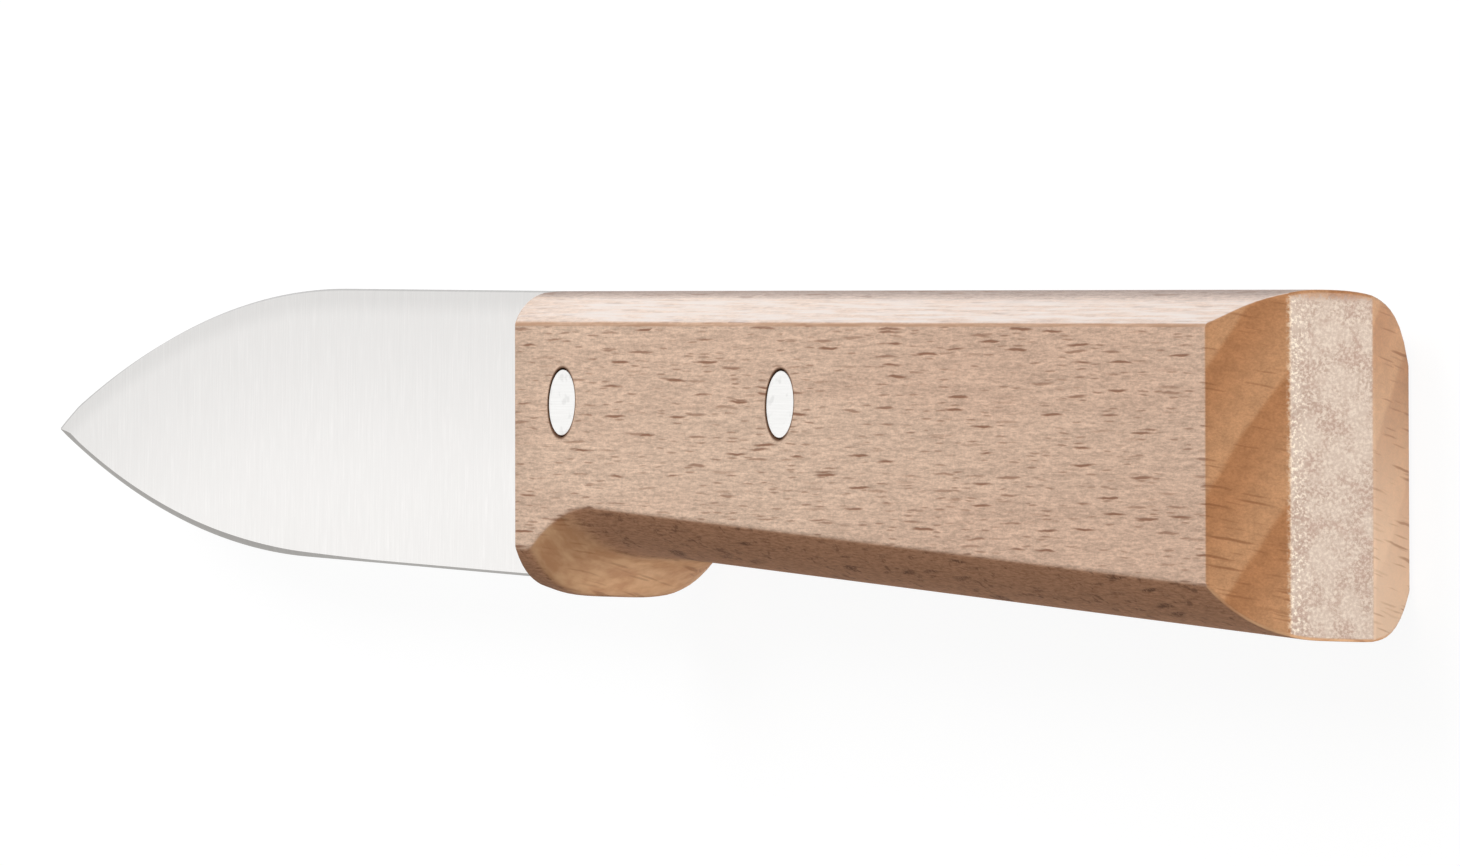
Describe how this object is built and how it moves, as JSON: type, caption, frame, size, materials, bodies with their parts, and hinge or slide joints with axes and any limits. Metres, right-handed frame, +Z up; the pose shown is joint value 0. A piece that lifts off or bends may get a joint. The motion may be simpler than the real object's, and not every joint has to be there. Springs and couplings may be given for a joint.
{
  "type": "paring knife",
  "caption": "Paring knife with a short centred-point satin steel blade, riveted by its hidden tang into a one-piece beech handle with a small finger guard.",
  "frame": {"origin": "middle of the overall length and height, on the plane of the handle's lower side, on which the knife lies", "axes": "+X from the blade's point to the butt of the handle, +Y from the cutting edge to the spine, +Z up through the thickness"},
  "size_m": [0.1968, 0.0202, 0.0124],
  "materials": {
    "blade_steel": "satin, brushed from spine to edge",
    "beech": "sanded and lightly oiled",
    "rivet_aluminium": "ground flush"
  },
  "bodies": {
    "root": {"blade": "blade_steel", "handle": "beech", "front_rivet": "rivet_aluminium", "rear_rivet": "rivet_aluminium"}
  },
  "joints": []
}
